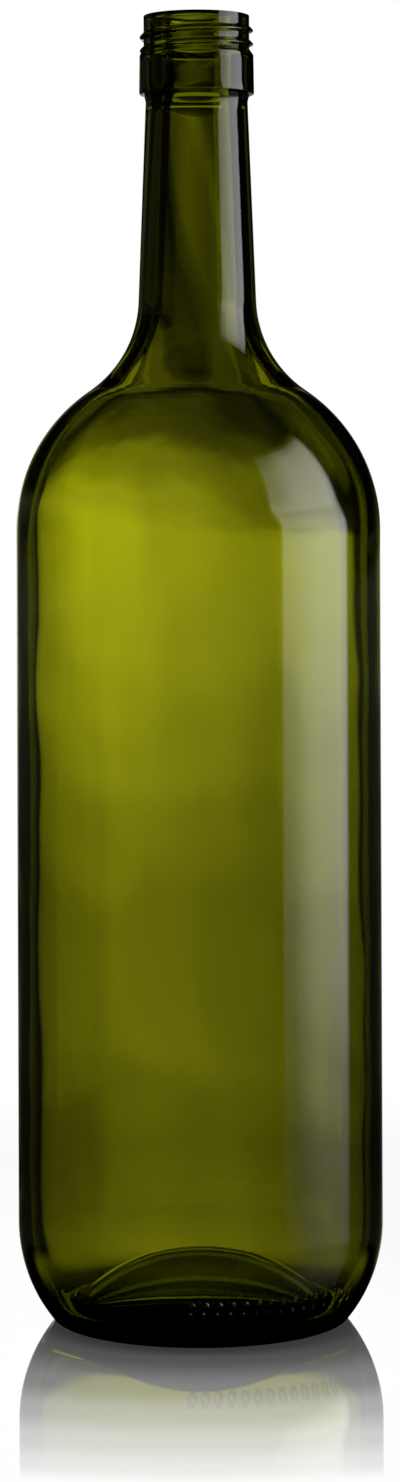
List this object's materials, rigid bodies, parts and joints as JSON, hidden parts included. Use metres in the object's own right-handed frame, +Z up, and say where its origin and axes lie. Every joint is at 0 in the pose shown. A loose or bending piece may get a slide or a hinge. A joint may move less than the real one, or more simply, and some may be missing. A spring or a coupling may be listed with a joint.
{
  "type": "wine bottle",
  "caption": "Empty magnum wine bottle in olive green glass, with high round shoulders, a tapered neck, a skirted screw finish open at the mouth, a rounded heel and a shallow punt",
  "frame": {"origin": "centre of the standing ring, on the surface the bottle stands on", "axes": "+Z up along the bottle's axis to the mouth; +X to the right and -Y to the front as the bottle is usually seen"},
  "size_m": [0.097, 0.097, 0.347],
  "materials": {
    "green_glass": "smooth fire-polished blown glass, transparent olive green, near black where it is thick"
  },
  "bodies": {
    "root": {"bottle": "green_glass"}
  },
  "joints": []
}
